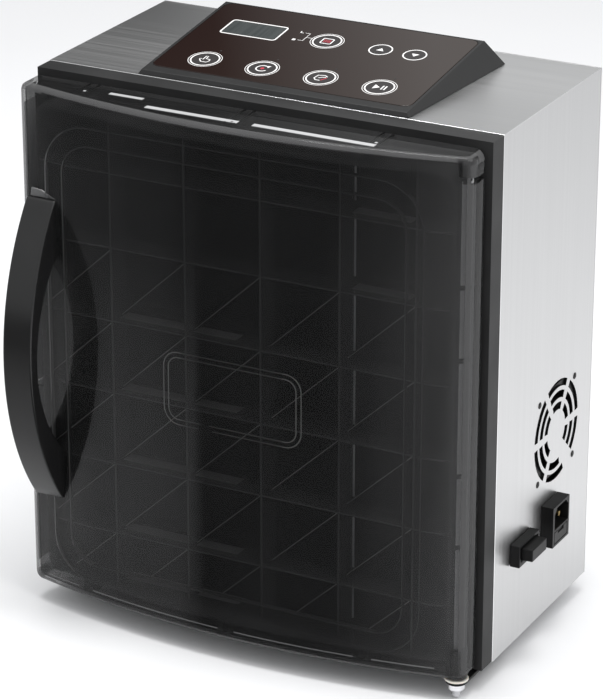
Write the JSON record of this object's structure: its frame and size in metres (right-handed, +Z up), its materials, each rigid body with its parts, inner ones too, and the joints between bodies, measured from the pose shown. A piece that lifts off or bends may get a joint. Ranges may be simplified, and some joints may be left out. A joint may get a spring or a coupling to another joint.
{
  "type": "upright chamber vacuum sealer",
  "caption": "Upright steel vacuum sealer with a smoked ribbed side-hinged door, bow handle, sloping touch panel, side cooling vent, mains inlet and rocker switch.",
  "frame": {"origin": "middle of the bounding box in plan, on the worktop under the feet", "axes": "+X to the right as seen from the front, +Y to the back, +Z up"},
  "size_m": [0.3884, 0.2574, 0.4466],
  "materials": {
    "casing_steel": "fine satin brushed",
    "bezel_plastic": "fine grain",
    "head_plastic": "fine grain",
    "handle_plastic": "fine grain",
    "foot_rubber": "moulded",
    "chamber_steel": "satin",
    "silicone": "translucent silicone",
    "seal_aluminium": "satin",
    "heating_alloy": "thin tape",
    "rod_chrome": "polished",
    "smoke_cover": "clear smoked, glossy",
    "clear_panel": "clear smoked, glossy",
    "nylon": "plain",
    "hinge_black": "satin black",
    "panel_glass": "glossy, printed from behind",
    "display_plastic": "glossy",
    "board_green": "solder mask",
    "transformer_core": "varnished",
    "bracket_steel": "zinc plated",
    "black_plastic": "satin",
    "port_brass": "turned",
    "inlet_brass": "polished",
    "fuse_metal": "plated caps",
    "screw_black": "black zinc"
  },
  "bodies": {
    "cabinet": {"casing_wrap": "casing_steel", "base_panel": "casing_steel", "back_panel": "casing_steel", "front_bezel": "bezel_plastic", "head_housing": "head_plastic", "foot_front_left": "foot_rubber", "foot_front_right": "foot_rubber", "foot_back_left": "foot_rubber", "foot_back_right": "foot_rubber", "chamber_tub": "chamber_steel", "chamber_gasket": "silicone", "suction_hose": "silicone", "vent_hose": "silicone", "seal_cylinder_left": "seal_aluminium", "seal_cylinder_right": "seal_aluminium", "pump_motor": "seal_aluminium", "pump_head": "seal_aluminium", "lower_hinge_pin": "rod_chrome", "upper_hinge_pin": "rod_chrome", "hinge_washer": "nylon", "lower_hinge_plate": "hinge_black", "upper_hinge_plate": "hinge_black", "touch_glass": "panel_glass", "display_module": "display_plastic", "control_board": "board_green", "power_board": "board_green", "transformer": "transformer_core", "pump_bracket": "bracket_steel", "suction_valve": "black_plastic", "vent_valve": "black_plastic", "fan_frame": "black_plastic", "inlet_body": "black_plastic", "switch_frame": "black_plastic", "door_microswitch": "black_plastic", "chamber_port": "port_brass", "inlet_pin_line": "inlet_brass", "inlet_pin_neutral": "inlet_brass", "inlet_pin_earth": "inlet_brass", "fan_screw_1": "screw_black", "fan_screw_2": "screw_black", "fan_screw_3": "screw_black", "fan_screw_4": "screw_black"},
    "door": {"door_cover": "smoke_cover", "door_panel": "clear_panel", "counter_strip": "silicone", "handle_bow": "handle_plastic", "lower_door_bush": "nylon", "upper_door_bush": "nylon"},
    "seal_bar_unit": {"seal_bar": "seal_aluminium", "heating_strip": "heating_alloy", "seal_rod_left": "rod_chrome", "seal_rod_right": "rod_chrome"},
    "rocker": {"switch_rocker": "black_plastic"},
    "drawer": {"fuse_drawer": "black_plastic", "fuse": "fuse_metal"},
    "cooling_rotor": {"fan_rotor": "black_plastic"},
    "pump_impeller": {"pump_fan": "black_plastic"},
    "plunger": {"switch_plunger": "nylon"}
  },
  "joints": [
    {"name": "door_hinge", "type": "hinge", "parent": "cabinet", "child": "door", "pos_m": [0.1648, -0.07675, 0.2], "axis": [0, 0, 1], "range_deg": [0, 110]},
    {"name": "seal_bar_slide", "type": "slide", "parent": "cabinet", "child": "seal_bar_unit", "axis": [0, -1, 0], "range_m": [0, 0.0085], "stiffness_N_per_m": 400},
    {"name": "power_rocker", "type": "hinge", "parent": "cabinet", "child": "rocker", "pos_m": [0.1818, 0.0015, 0.0926], "axis": [0, 0, 1], "range_deg": [-8, 8]},
    {"name": "fuse_drawer_slide", "type": "slide", "parent": "cabinet", "child": "drawer", "axis": [1, 0, 0], "range_m": [0, 0.02]},
    {"name": "cooling_fan_spin", "type": "hinge", "parent": "cabinet", "child": "cooling_rotor", "pos_m": [0.1642, 0.06405, 0.1614], "axis": [1, 0, 0], "continuous": true},
    {"name": "pump_fan_spin", "type": "hinge", "parent": "cabinet", "child": "pump_impeller", "pos_m": [-0.1302, 0.09125, 0.078], "axis": [1, 0, 0], "continuous": true},
    {"name": "door_plunger_slide", "type": "slide", "parent": "cabinet", "child": "plunger", "axis": [0, 1, 0], "range_m": [0, 0.0015], "stiffness_N_per_m": 300}
  ]
}
